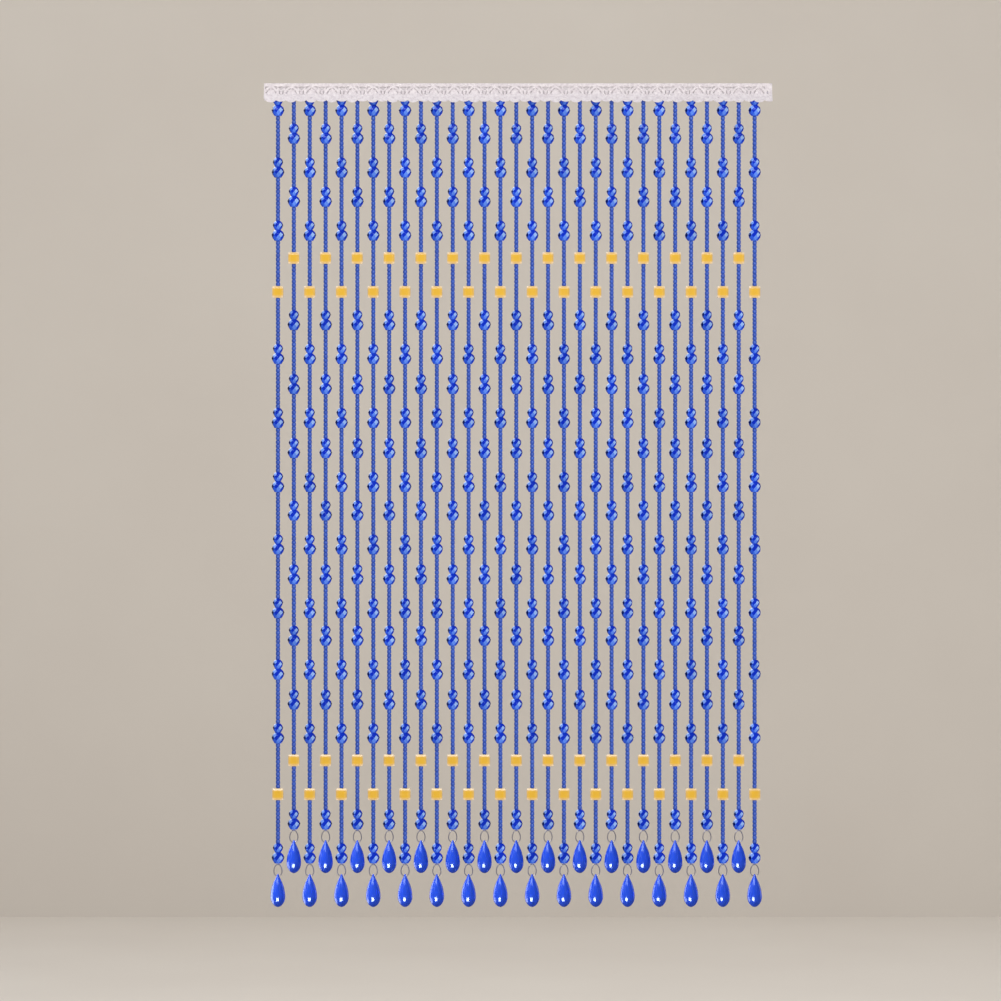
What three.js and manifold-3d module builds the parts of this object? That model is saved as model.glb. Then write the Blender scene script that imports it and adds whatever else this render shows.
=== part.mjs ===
// A doorway bead curtain. A white tape with a scalloped lace edging runs along its top, and
// 31 strands of beads hang from the tape, long and short in turn, each ending in a teardrop.
//
// Millimetres, +Z up. X runs along the header and -Y is the front. The origin is the middle
// of the header's top edge, so everything hangs below z = 0.
import * as THREE from 'three';
import { mergeVertices } from 'three/addons/utils/BufferGeometryUtils.js';
import Module from 'manifold-3d';

const wasm = await Module();
wasm.setup();

// Clearance between pieces that lie against each other.
const SEAT_GAP = 0.3;

// Header tape, with the strands sewn to its lower edge.
const HEADER_WIDTH = 900;
const TAPE_HEIGHT = 22;
const TAPE_THICKNESS = 3;

// Strands: how many, where the first one hangs, and how far the short ones are drawn up.
const STRAND_COUNT = 31;
const STRAND_PITCH = 28.15;
const FIRST_STRAND_X = 24.6 - HEADER_WIDTH / 2;
const SHORT_RISE = 60;

// Widths across the beads. A bead's end is where it meets the next one.
const FINE_WIDTH = 7;
const BEAD_END_WIDTH = 8;
const SMALL_CRYSTAL = { width: 18, height: 15 };
const LARGE_CRYSTAL = { width: 22, height: 19 };
const WAIST_WIDTH = 9;
const SQUARE_BEAD = { width: 20, height: 20 };
const TAIL_WIDTH = 2.6;

// The root of a strand starts as a thin point inside the tape and swells below it.
const ROOT = { width: 1.6, inside: 0.5, swell: 2 };

// What is strung on a long strand between its fine beads, with the depth below the top edge
// of each large crystal's or square bead's middle. A short strand lacks the first pair and
// has the rest SHORT_RISE higher.
const STRUNG = [
  { unit: 'pair', depth: 48.2 },
  { unit: 'pair', depth: 157.5 },
  { unit: 'pair', depth: 269.3 },
  { unit: 'square', depth: 369.5 },
  { unit: 'pair', depth: 487.8 },
  { unit: 'pair', depth: 601.0 },
  { unit: 'pair', depth: 714.5 },
  { unit: 'pair', depth: 825.0 },
  { unit: 'pair', depth: 938.0 },
  { unit: 'pair', depth: 1046.6 },
  { unit: 'pair', depth: 1159.7 },
  { unit: 'square', depth: 1259.0 },
  { unit: 'pair', depth: 1372.0 },
];

// Teardrop: its tip's depth on a long strand, and its outline from the tip down.
const DROP_TIP_DEPTH = 1400.5;
const DROP_SIDES = 8;
const DROP_OUTLINE = [
  { below_tip: 0, radius: 0 },
  { below_tip: 9, radius: 4.7 },
  { below_tip: 22, radius: 10.2 },
  { below_tip: 38, radius: 13 },
  { below_tip: 50, radius: 11 },
  { below_tip: 56.5, radius: 5.6 },
  { below_tip: 58.5, radius: 0 },
];

// Lace edging: a thin strip that hangs flat against the tape and leans out below it, over
// the first beads. The lean is millimetres forward for each millimetre down.
const LACE_THICKNESS = 1.5;
const LACE_BEND_DEPTH = 20;
const LACE_LEAN = 0.7;
const LACE_REPEAT = 36;
const LACE_FIRST_X = 12.6 - HEADER_WIDTH / 2;
const LACE_REPEATS = 25;
const SCALLOP_HALF_WIDTH = LACE_REPEAT / 4;
const SCALLOP_VALLEY = 29.5;
const SCALLOP_STEPS = 5;
// The two scallops of one repeat, each with a round eye above its tip.
const SCALLOPS = [
  { along: 0, tip: 35.2, eye_depth: 26.2, eye_radius: 3.8 },
  { along: LACE_REPEAT / 2, tip: 33.6, eye_depth: 25.8, eye_radius: 3 },
];
const EYE_SIDES = 6;
// The kite-shaped gap under the top band, midway between two arches.
const CORNER_GAP = { top: 5.2, side: 6.6, foot: 12.5, half_width: 5.5 };

const BEAD_BLUE = new THREE.MeshStandardMaterial({ color: 0x3a5cd8, roughness: 0.3, metalness: 0 });
const DROP_BLUE = new THREE.MeshStandardMaterial({ color: 0x2d55e1, roughness: 0.08, metalness: 0 });
const LACE_WHITE = new THREE.MeshStandardMaterial({ color: 0xf0e6eb, roughness: 0.9, metalness: 0 });

// A geometry with its shared vertices merged and its collapsed triangles left out.
function closed(geometry) {
  const bare = new THREE.BufferGeometry();
  bare.setAttribute('position', geometry.getAttribute('position').clone());
  if (geometry.index) bare.setIndex(geometry.index.clone());
  const merged = mergeVertices(bare, 1e-3);
  const corners = [];
  for (let i = 0; i < merged.index.count; i += 3) {
    const [a, b, c] = [merged.index.getX(i), merged.index.getX(i + 1), merged.index.getX(i + 2)];
    if (a !== b && b !== c && c !== a) corners.push(a, b, c);
  }
  merged.setIndex(corners);
  return merged;
}

function toSolid(geometry) {
  const shell = closed(geometry);
  const vertProperties = new Float32Array(shell.getAttribute('position').array);
  const triVerts = new Uint32Array(shell.index.array);
  return new wasm.Manifold(new wasm.Mesh({ numProp: 3, vertProperties, triVerts }));
}

function toGeometry(solid) {
  const mesh = solid.getMesh();
  const geometry = new THREE.BufferGeometry();
  geometry.setAttribute('position', new THREE.BufferAttribute(new Float32Array(mesh.vertProperties), 3));
  geometry.setIndex(Array.from(mesh.triVerts));
  return geometry;
}

function namedMesh(name, geometry, material) {
  const mesh = new THREE.Mesh(geometry, material);
  mesh.name = name;
  return mesh;
}

// Turns an outline of { z, width } about the vertical into a closed form with flat sides.
// The first corner faces the front.
function turned(outline, sides) {
  const points = outline.map((row) => new THREE.Vector2(row.width / 2, row.z));
  points.unshift(new THREE.Vector2(0, outline[0].z));
  points.push(new THREE.Vector2(0, outline[outline.length - 1].z));
  points.reverse();
  return new THREE.LatheGeometry(points, sides).rotateX(Math.PI / 2);
}

function pairOutline(middle, footWidth) {
  const waist = middle + LARGE_CRYSTAL.height / 2;
  const smallMiddle = waist + SMALL_CRYSTAL.height / 2;
  return [
    { z: waist + SMALL_CRYSTAL.height, width: BEAD_END_WIDTH },
    { z: smallMiddle, width: SMALL_CRYSTAL.width },
    { z: waist, width: WAIST_WIDTH },
    { z: middle, width: LARGE_CRYSTAL.width },
    { z: middle - LARGE_CRYSTAL.height / 2, width: footWidth },
  ];
}

function squareOutline(middle) {
  const half = SQUARE_BEAD.height / 2;
  const edge = 1;
  return [
    { z: middle + half, width: FINE_WIDTH },
    { z: middle + half - edge, width: SQUARE_BEAD.width },
    { z: middle - half + edge, width: SQUARE_BEAD.width },
    { z: middle - half, width: FINE_WIDTH },
  ];
}

// The outline of a whole strand, from its root in the tape to the end of its tail.
function strandOutline(isLong) {
  const rise = isLong ? 0 : SHORT_RISE;
  const strung = isLong ? STRUNG : STRUNG.slice(1);
  const outline = [{ z: ROOT.inside - TAPE_HEIGHT, width: ROOT.width }];
  if (!isLong) outline.push({ z: -TAPE_HEIGHT - ROOT.swell, width: FINE_WIDTH });
  strung.forEach((row, i) => {
    const middle = rise - row.depth;
    const isLast = i === strung.length - 1;
    const footWidth = isLast ? TAIL_WIDTH : BEAD_END_WIDTH;
    outline.push(...(row.unit === 'pair' ? pairOutline(middle, footWidth) : squareOutline(middle)));
  });
  outline.push({ z: rise - DROP_TIP_DEPTH + SEAT_GAP, width: TAIL_WIDTH });
  return outline;
}

// A triangle turned about its axis is narrower than the circle, so it is widened to the
// bead's full width seen from the front.
function strand(isLong) {
  const fullWidth = 2 / Math.sqrt(3);
  return turned(strandOutline(isLong), 3).scale(fullWidth, 1, 1);
}

const strandX = (i) => FIRST_STRAND_X + i * STRAND_PITCH;
const isLongStrand = (i) => i % 2 === 0;

// The tape with all the strands' roots fused into its lower edge.
function strandsOnTape() {
  const tape = new THREE.BoxGeometry(HEADER_WIDTH, TAPE_THICKNESS, TAPE_HEIGHT);
  tape.translate(0, 0, -TAPE_HEIGHT / 2);
  let solid = toSolid(tape);
  for (let i = 0; i < STRAND_COUNT; i += 1) {
    const hanging = strand(isLongStrand(i)).translate(strandX(i), 0, 0);
    solid = solid.add(toSolid(hanging));
  }
  return toGeometry(solid);
}

// The lace as a plain strip, bent once along its length.
function laceStrip() {
  const back = -TAPE_THICKNESS / 2 - SEAT_GAP;
  const foot = SCALLOPS[0].tip;
  const lean = (foot - LACE_BEND_DEPTH) * LACE_LEAN;
  const side = new THREE.Shape([
    new THREE.Vector2(back, 0),
    new THREE.Vector2(back - LACE_THICKNESS, 0),
    new THREE.Vector2(back - LACE_THICKNESS, -LACE_BEND_DEPTH),
    new THREE.Vector2(back - LACE_THICKNESS - lean, -foot),
    new THREE.Vector2(back - lean, -foot),
    new THREE.Vector2(back, -LACE_BEND_DEPTH),
  ]);
  const strip = new THREE.ExtrudeGeometry(side, { depth: HEADER_WIDTH, bevelEnabled: false });
  const alongX = new THREE.Matrix4().makeBasis(
    new THREE.Vector3(0, 1, 0),
    new THREE.Vector3(0, 0, 1),
    new THREE.Vector3(1, 0, 0),
  );
  return strip.applyMatrix4(alongX).translate(-HEADER_WIDTH / 2, 0, 0);
}

// One scallop's lower edge, a half ellipse from its left valley to just before its right one.
function scallopEdge(middle, tip) {
  const points = [];
  for (let step = 0; step < SCALLOP_STEPS; step += 1) {
    const turn = (Math.PI * step) / SCALLOP_STEPS;
    const x = middle - SCALLOP_HALF_WIDTH * Math.cos(turn);
    const z = -SCALLOP_VALLEY - (tip - SCALLOP_VALLEY) * Math.sin(turn);
    points.push(new THREE.Vector2(x, z));
  }
  return points;
}

function ringOf(middle, depth, radius, sides) {
  const points = [];
  for (let i = 0; i < sides; i += 1) {
    const turn = (Math.PI * 2 * i) / sides;
    points.push(new THREE.Vector2(middle + radius * Math.cos(turn), -depth + radius * Math.sin(turn)));
  }
  return new THREE.Path(points);
}

// The outline of the lace face on, with its eyes and corner gaps, as a prism through Y.
function lacePattern() {
  const edge = [];
  const holes = [];
  const end = HEADER_WIDTH / 2;
  const eyeRoom = SCALLOPS[0].eye_radius + 2;
  for (let k = -1; k <= LACE_REPEATS; k += 1) {
    const repeatX = LACE_FIRST_X + k * LACE_REPEAT;
    for (const scallop of SCALLOPS) {
      const middle = repeatX + scallop.along;
      edge.push(...scallopEdge(middle, scallop.tip));
      if (Math.abs(middle) < end - eyeRoom) {
        holes.push(ringOf(middle, scallop.eye_depth, scallop.eye_radius, EYE_SIDES));
      }
    }
    const cornerX = repeatX + LACE_REPEAT / 2;
    if (Math.abs(cornerX) < end - CORNER_GAP.half_width - 2) {
      holes.push(new THREE.Path([
        new THREE.Vector2(cornerX, -CORNER_GAP.top),
        new THREE.Vector2(cornerX + CORNER_GAP.half_width, -CORNER_GAP.side),
        new THREE.Vector2(cornerX, -CORNER_GAP.foot),
        new THREE.Vector2(cornerX - CORNER_GAP.half_width, -CORNER_GAP.side),
      ]));
    }
  }
  const last = edge[edge.length - 1];
  const above = 5;
  const face = new THREE.Shape([
    ...edge,
    new THREE.Vector2(last.x, above),
    new THREE.Vector2(edge[0].x, above),
  ]);
  face.holes = holes;
  const depth = 40;
  const prism = new THREE.ExtrudeGeometry(face, { depth, bevelEnabled: false });
  const throughY = new THREE.Matrix4().makeBasis(
    new THREE.Vector3(1, 0, 0),
    new THREE.Vector3(0, 0, 1),
    new THREE.Vector3(0, -1, 0),
  );
  return prism.applyMatrix4(throughY).translate(0, depth / 2, 0);
}

function laceEdging() {
  return toGeometry(toSolid(laceStrip()).intersect(toSolid(lacePattern())));
}

function teardrop() {
  const outline = DROP_OUTLINE.map((row) => ({ z: -row.below_tip, width: row.radius * 2 }));
  return closed(turned(outline, DROP_SIDES));
}

const curtain = new THREE.Group();
curtain.add(namedMesh('strands', strandsOnTape(), BEAD_BLUE));
curtain.add(namedMesh('lace_trim', laceEdging(), LACE_WHITE));
for (let i = 0; i < STRAND_COUNT; i += 1) {
  const drop = namedMesh(`drop_${String(i + 1).padStart(2, '0')}`, teardrop(), DROP_BLUE);
  const rise = isLongStrand(i) ? 0 : SHORT_RISE;
  drop.position.set(strandX(i), 0, rise - DROP_TIP_DEPTH);
  curtain.add(drop);
}

export default curtain;
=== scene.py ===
import itertools
import math
import random

import bmesh
import bpy
import numpy as np
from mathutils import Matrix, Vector
from mathutils.geometry import tessellate_polygon


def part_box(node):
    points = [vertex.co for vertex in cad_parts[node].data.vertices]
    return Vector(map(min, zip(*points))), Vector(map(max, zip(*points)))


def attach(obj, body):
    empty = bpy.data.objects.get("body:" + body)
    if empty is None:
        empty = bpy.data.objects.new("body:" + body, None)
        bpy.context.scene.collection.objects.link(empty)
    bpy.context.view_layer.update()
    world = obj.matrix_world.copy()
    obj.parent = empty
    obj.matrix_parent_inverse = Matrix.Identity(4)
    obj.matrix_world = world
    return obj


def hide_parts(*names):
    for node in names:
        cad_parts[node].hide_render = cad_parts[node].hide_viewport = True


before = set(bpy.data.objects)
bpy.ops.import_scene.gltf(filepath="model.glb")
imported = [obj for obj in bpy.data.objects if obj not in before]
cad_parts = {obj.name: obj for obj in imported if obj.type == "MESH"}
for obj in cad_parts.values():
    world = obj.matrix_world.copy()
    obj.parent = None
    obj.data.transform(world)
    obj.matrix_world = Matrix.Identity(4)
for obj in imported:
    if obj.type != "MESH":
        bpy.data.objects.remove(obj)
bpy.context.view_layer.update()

# ---------------------------------------------------------------------------------------------
# Header tape. A white woven polyester tape, doubled and pressed flat. The whole curtain hangs
# from its top edge, and every strand is sewn to its lower edge.
# ---------------------------------------------------------------------------------------------
MM = 0.001
strands_low, strands_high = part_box("strands")
drop_low, drop_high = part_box("drop_01")
HEADER_WIDTH = strands_high.x - strands_low.x
TAPE_HEIGHT = 22 * MM
TAPE_THICKNESS = 3 * MM
TAPE_STEP = 6 * MM
SELVEDGE_RADIUS = 0.9 * MM
# The weft is drawn coarser than it is, so that its ribs show.
WEFT_SPACING = 1.6 * MM


def linear(colour):
    """A '#RRGGBB' sRGB colour as linear RGBA."""
    parts = [int(colour[i : i + 2], 16) / 255 for i in (1, 3, 5)]
    return [c / 12.92 if c <= 0.04045 else ((c + 0.055) / 1.055) ** 2.4 for c in parts] + [1.0]


def add_node(tree, kind, inputs=None, **settings):
    """One shader node. inputs maps a socket's name or number to a value or to another socket."""
    made = tree.nodes.new(kind)
    for name, value in settings.items():
        setattr(made, name, value)
    for name, value in (inputs or {}).items():
        if isinstance(value, bpy.types.NodeSocket):
            tree.links.new(value, made.inputs[name])
        else:
            made.inputs[name].default_value = value
    return made


def new_material(name, finish):
    """A material with nothing in it but a Principled shader, its finish set, on its output."""
    material = bpy.data.materials.new(name)
    material.use_nodes = True
    tree = material.node_tree
    tree.nodes.clear()
    shader = add_node(tree, "ShaderNodeBsdfPrincipled", finish)
    add_node(tree, "ShaderNodeOutputMaterial", {"Surface": shader.outputs[0]})
    return material, tree, shader


def noise(tree, place, scale, detail=2.0):
    """Cloudy noise over a place."""
    inputs = {"Vector": place, "Scale": scale, "Detail": detail}
    return add_node(tree, "ShaderNodeTexNoise", inputs).outputs[0]


def between_tints(tree, value, tints, span=(0, 1)):
    """A colour that goes from the first tint to the second as a value crosses the span."""
    ramp = add_node(tree, "ShaderNodeValToRGB", {"Fac": value})
    for stop, colour, position in zip(ramp.color_ramp.elements, tints, span):
        stop.color = linear(colour)
        stop.position = position
    return ramp.outputs[0]


def ridged(tree, place, spacing, direction, wave, bump):
    """A relief of fine ridges that are this far apart, for a shader's normal."""
    # A wave texture repeats every 2 pi / (20 * scale) units.
    inputs = {"Vector": place, "Scale": 2 * math.pi / (20 * spacing), "Detail": 2.0, **wave}
    ridges = add_node(tree, "ShaderNodeTexWave", inputs, bands_direction=direction)
    return add_node(tree, "ShaderNodeBump", {"Height": ridges.outputs[1], **bump}).outputs[0]


def placed_object(name, data):
    """An object in the scene that shows a mesh, a light or a camera."""
    made = bpy.data.objects.new(name, data)
    bpy.context.scene.collection.objects.link(made)
    return made


def new_object(name, verts, faces, material, smooth=True):
    """A mesh object from corner points and faces, with one material."""
    mesh = bpy.data.meshes.new(name)
    mesh.from_pydata([tuple(v) for v in verts], [], [tuple(f) for f in faces])
    mesh.polygons.foreach_set("use_smooth", [smooth] * len(mesh.polygons))
    mesh.materials.append(material)
    mesh.update()
    return placed_object(name, mesh)


def woven_polyester():
    # Matt and soft. The weft shows as fine ribs across the tape, a little uneven.
    finish = {"Roughness": 0.88, "Sheen Weight": 0.25, "Sheen Roughness": 0.5}
    material, tree, shader = new_material("woven polyester tape", finish)
    place = add_node(tree, "ShaderNodeTexCoord").outputs["Object"]
    cloud = noise(tree, place, 60.0, 3.0)
    tint = between_tints(tree, cloud, ("#DAD3D6", "#EDE7EA"), span=(0.3, 0.7))
    wave = {"Distortion": 1.2, "Detail Scale": 3.0}
    relief = ridged(tree, place, WEFT_SPACING, "X", wave, {"Strength": 0.7, "Distance": 0.0004})
    tree.links.new(tint, shader.inputs["Base Color"])
    tree.links.new(relief, shader.inputs["Normal"])
    return material


def rounded_section(half_thickness, top, foot, radius):
    """The outline of a flat tape seen from its end, as (y, z) points, with round edges."""
    steps = 3
    corners = [
        (half_thickness - radius, top - radius, 0),
        (radius - half_thickness, top - radius, 90),
        (radius - half_thickness, foot + radius, 180),
        (half_thickness - radius, foot + radius, 270),
    ]
    points = []
    for y, z, start in corners:
        for step in range(steps + 1):
            turn = math.radians(start + 90 * step / steps)
            points.append((y + radius * math.cos(turn), z + radius * math.sin(turn)))
    return points


def swept_along_x(section, stations):
    """A closed bar: the same section of (y, z) points at each station's x."""
    count = len(section)
    verts = [(x, y, z) for x in stations for y, z in section]
    faces = []
    for i in range(len(stations) - 1):
        for j in range(count):
            k = (j + 1) % count
            a, b = i * count, (i + 1) * count
            faces.append((a + j, a + k, b + k, b + j))
    faces.append(tuple(reversed(range(count))))
    faces.append(tuple(range((len(stations) - 1) * count, len(stations) * count)))
    return verts, faces


tape_steps = round(HEADER_WIDTH / TAPE_STEP)
tape_stations = [strands_low.x + HEADER_WIDTH * i / tape_steps for i in range(tape_steps + 1)]
tape_section = rounded_section(TAPE_THICKNESS / 2, 0, -TAPE_HEIGHT, SELVEDGE_RADIUS)
tape_cloth = woven_polyester()
tape = new_object("header_tape", *swept_along_x(tape_section, tape_stations), tape_cloth)
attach(tape, "root")
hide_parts("strands")

# ---------------------------------------------------------------------------------------------
# Lace edging. A scalloped chemical lace of white polyester yarn, sewn over the front of the
# tape. It lies flat on the tape and leans out below it, where it rests on the first beads.
# ---------------------------------------------------------------------------------------------
LACE_CLEARANCE = 0.3 * MM
LACE_THICKNESS = 1.5 * MM
LACE_HEIGHT = 35.2 * MM
# The share of the lace's flat rectangle that is yarn and ground, not gaps or scallop valleys.
GROUND_THICKNESS = 0.9 * MM
# The lace bends at a depth, over a rounding above and below it, and leans out by this much for
# each unit of depth.
LACE_BEND_DEPTH = 18 * MM
LACE_BEND_ROUND = 4 * MM
LACE_LEAN = 0.8
# Where the ground is cut across so that it bends smoothly, as shares of the bend's rounding.
BEND_CUTS = (-1.0, -0.51, -0.02, 0.47, 0.96)
LACE_REPEAT = 36 * MM
LACE_REPEATS = 25
LACE_FIRST_X = strands_low.x + 12.6 * MM
# The ground stops this far inside the top edge and the right end. Gaps and raised yarns keep
# their own margins from both ends.
LACE_INSET = 0.2 * MM
GAP_TO_END = 1.2 * MM
YARN_TO_END = 1.0 * MM
SCALLOP_HALF_WIDTH = LACE_REPEAT / 4
SCALLOP_VALLEY = 29.5 * MM
# The lower edge starts at the left end, this much above the first valley that it takes in.
FIRST_END_RISE = 2 * MM
VALLEY_SLACK = 0.1 * MM
# The two scallops of one repeat: how far along it, the tip's depth, and the round eye above it.
SCALLOPS = (
    {"along": 0.0, "tip": LACE_HEIGHT, "eye_depth": 26.2 * MM, "eye_radius": 3.8 * MM},
    {"along": LACE_REPEAT / 2, "tip": 33.6 * MM, "eye_depth": 25.8 * MM, "eye_radius": 3.0 * MM},
)
# Half of an arch as three control points (across, depth) from its apex: the outer one, and
# the inner one over the leaf.
OUTER_ARCH = ((0, 6.4 * MM), (8.5 * MM, 9.5 * MM), (12.8 * MM, 21.0 * MM))
INNER_ARCH = ((0, 11.0 * MM), (5.2 * MM, 13.0 * MM), (6.9 * MM, 20.4 * MM))
LEAF = {"depth": 17.0 * MM, "half_width": 2.1 * MM, "half_height": 3.4 * MM}
# Gaps of one repeat, in millimetres across and down: half the kite midway between two arches,
# one beside each arch's apex and one on each side below the kite. Two more lie along each arch,
# from one share of its length to another.
CORNER_GAP = ((0, 5.6), (6.0, 6.8), (3.0, 10.209), (0, 12.3))
GAP_BESIDE_ARCH = ((4.6, 5.7), (9.6, 5.5), (11.0, 7.6), (10.9, 11.0), (7.6, 8.4))
GAP_BELOW_CORNER = ((14.2, 12.4), (16.4, 13.6), (16.6, 18.2), (14.6, 19.6), (13.6, 15.6))
ARCH_GAPS = ((0.08, 0.4), (0.52, 0.84))
# How far those two stay from the middle of the inner arch's yarn.
INNER_ARCH_MARGIN = 1.33 * MM
# Half widths of the raised yarns.
YARN = {
    "edge": 1.15 * MM,
    "arch": 1.45 * MM,
    "ring": 1.1 * MM,
    "fine": 0.7 * MM,
    "spoke": 0.35 * MM,
}
HEADING_CORDS = {"depths": (0.9 * MM, 2.6 * MM, 4.3 * MM), "half_width": 0.95 * MM}
# How much of its own half width a yarn stands off the eye's rim, or in from the scalloped edge.
RING_STANDOFF = 0.9
EDGE_STANDOFF = 0.8
# The fine bar below the kite on each side, in millimetres from midway and down.
CORNER_BAR = ((1.6, 13.2), (1.2, 21.0))
# The fine cord down each end of the lace.
END_CORD = {"top": 0.9 * MM, "step": 3.4 * MM, "points": 9}
TWIST_SPACING = 0.9 * MM
# An eye is crossed by spokes. Its net ring and its hole are shares of its radius.
EYE_SPOKES = 5
EYE_NET = 0.75
EYE_HOLE = 0.45
# The lace is uneven by up to this depth, out of step from repeat to repeat and gap to gap.
# Anything finer than a sliver is closed.
UNEVEN = 0.1 * MM
REPEAT_PHASE = 9.1
GAP_PHASE = 1.7
SLIVER = 0.02 * MM


def lace_lean(depth):
    """How far forward the lace stands at a depth below the header's top edge."""
    past = depth - LACE_BEND_DEPTH
    if past <= -LACE_BEND_ROUND:
        return 0.0
    if past >= LACE_BEND_ROUND:
        return LACE_LEAN * past
    return LACE_LEAN * (past + LACE_BEND_ROUND) ** 2 / (4 * LACE_BEND_ROUND)


def on_lace(x, depth, out=0.0):
    """A point of the lace: out is how far it stands in front of the middle of its thickness."""
    middle = TAPE_THICKNESS / 2 + LACE_CLEARANCE + LACE_THICKNESS / 2
    return (x, -middle - out - lace_lean(depth), -depth)


def lace_yarn():
    # Bright white, matt, with the fine twist of embroidery yarn, and slightly pink in places.
    finish = {"Roughness": 0.8, "Sheen Weight": 0.3, "Sheen Roughness": 0.4}
    material, tree, shader = new_material("polyester lace yarn", finish)
    place = add_node(tree, "ShaderNodeTexCoord").outputs["Object"]
    cloud = noise(tree, place, 220.0, 4.0)
    tint = between_tints(tree, cloud, ("#EEE5EA", "#FFF8FB"), span=(0.35, 0.62))
    wave = {"Distortion": 4.0, "Detail Scale": 2.0}
    bump = {"Strength": 0.6, "Distance": 0.0003}
    relief = ridged(tree, place, TWIST_SPACING, "DIAGONAL", wave, bump)
    tree.links.new(tint, shader.inputs["Base Color"])
    tree.links.new(relief, shader.inputs["Normal"])
    return material


def curve_points(controls, steps):
    """Points along a quadratic curve through its first and last control point."""
    (x0, d0), (x1, d1), (x2, d2) = controls
    points = []
    for i in range(steps + 1):
        t = i / steps
        a, b, c = (1 - t) ** 2, 2 * t * (1 - t), t * t
        points.append((a * x0 + b * x1 + c * x2, a * d0 + b * d1 + c * d2))
    return points


def both_sides(points):
    """A half outline that starts on the middle line, joined to its mirror image."""
    return [(-x, d) for x, d in reversed(points[1:])] + list(points)


def oval(across, depth, half_width, half_height, steps):
    """Points (across, depth) around an oval."""
    turns = [2 * math.pi * i / steps for i in range(steps)]
    return [(across + half_width * math.cos(t), depth + half_height * math.sin(t)) for t in turns]


def scallop_points(scallop, steps, inset=0.0):
    """One scallop's lower edge from valley to valley, drawn in by inset, less so sideways."""
    sideways = inset * 0.3
    points = []
    for i in range(steps + 1):
        turn = math.pi * i / steps
        x = scallop["along"] - (SCALLOP_HALF_WIDTH - sideways) * math.cos(turn)
        sag = (scallop["tip"] - SCALLOP_VALLEY) * math.sin(turn)
        points.append((x, SCALLOP_VALLEY + sag - inset))
    return points


def stepped_towards(point, goal, distance):
    """The place that far from one (across, depth) point on the way to another."""
    (x, d), (goal_x, goal_d) = point, goal
    share = distance / math.hypot(goal_x - x, goal_d - d)
    return (x + (goal_x - x) * share, d + (goal_d - d) * share)


def arch_gap(start, end):
    """The outline of a gap between the arches, from share start to share end of their length."""
    steps, fineness = 5, 20
    shares = [start + (end - start) * i / steps for i in range(steps + 1)]
    outer = [curve_points(OUTER_ARCH, fineness)[round(fineness * s)] for s in shares]
    inner = [curve_points(INNER_ARCH, fineness)[round(fineness * s)] for s in shares]
    outward = [stepped_towards(o, i, YARN["arch"]) for o, i in zip(outer, inner)]
    inward = [stepped_towards(i, o, INNER_ARCH_MARGIN) for o, i in zip(outer, inner)]
    return outward + inward[::-1]


def both_ways(gaps):
    """Each gap followed by its mirror image."""
    return [g for gap in gaps for g in (gap, [(-x, d) for x, d in reversed(gap)])]


def repeat_gaps():
    """The gaps of one repeat, as outlines of (across, depth) points."""
    eyes = []
    for scallop in SCALLOPS:
        hole = scallop["eye_radius"] * EYE_HOLE
        eyes.append(oval(scallop["along"], scallop["eye_depth"], hole, hole, 12))
    middle = LACE_REPEAT / 2
    kite = [(middle + x * MM, d * MM) for x, d in CORNER_GAP]
    kite += [(middle - x * MM, d * MM) for x, d in reversed(CORNER_GAP[1:-1])]
    one_side = [[(x * MM, d * MM) for x, d in gap] for gap in (GAP_BESIDE_ARCH, GAP_BELOW_CORNER)]
    one_side += [arch_gap(start, end) for start, end in ARCH_GAPS]
    return eyes + [kite] + both_ways(one_side)


def ground_rings():
    """The ground's outline, followed by the outline of each gap, as (across, depth) points."""
    left, right = strands_low.x, strands_high.x
    lower, gaps = [], []
    for k in range(-1, LACE_REPEATS + 1):
        repeat_x = LACE_FIRST_X + k * LACE_REPEAT
        for scallop in SCALLOPS:
            edge = [(repeat_x + x, d) for x, d in scallop_points(scallop, 12)[:-1]]
            lower += [(x, d + UNEVEN * math.sin(x / MM)) for x, d in edge]
        for n, gap in enumerate(repeat_gaps()):
            uneven = UNEVEN * math.sin(REPEAT_PHASE * k + GAP_PHASE * n)
            placed = [(repeat_x + x, d + uneven) for x, d in gap]
            across = [x for x, d in placed]
            if min(across) > left + GAP_TO_END and max(across) < right - GAP_TO_END:
                gaps.append(placed)
    first_valley = LACE_FIRST_X - SCALLOP_HALF_WIDTH
    lower = [(x, d) for x, d in lower if first_valley - VALLEY_SLACK < x < right - LACE_INSET]
    lower = [(left, SCALLOP_VALLEY - FIRST_END_RISE)] + lower + [(right, lower[-1][1])]
    return [[(left, LACE_INSET)] + lower + [(right, LACE_INSET)]] + gaps


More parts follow.
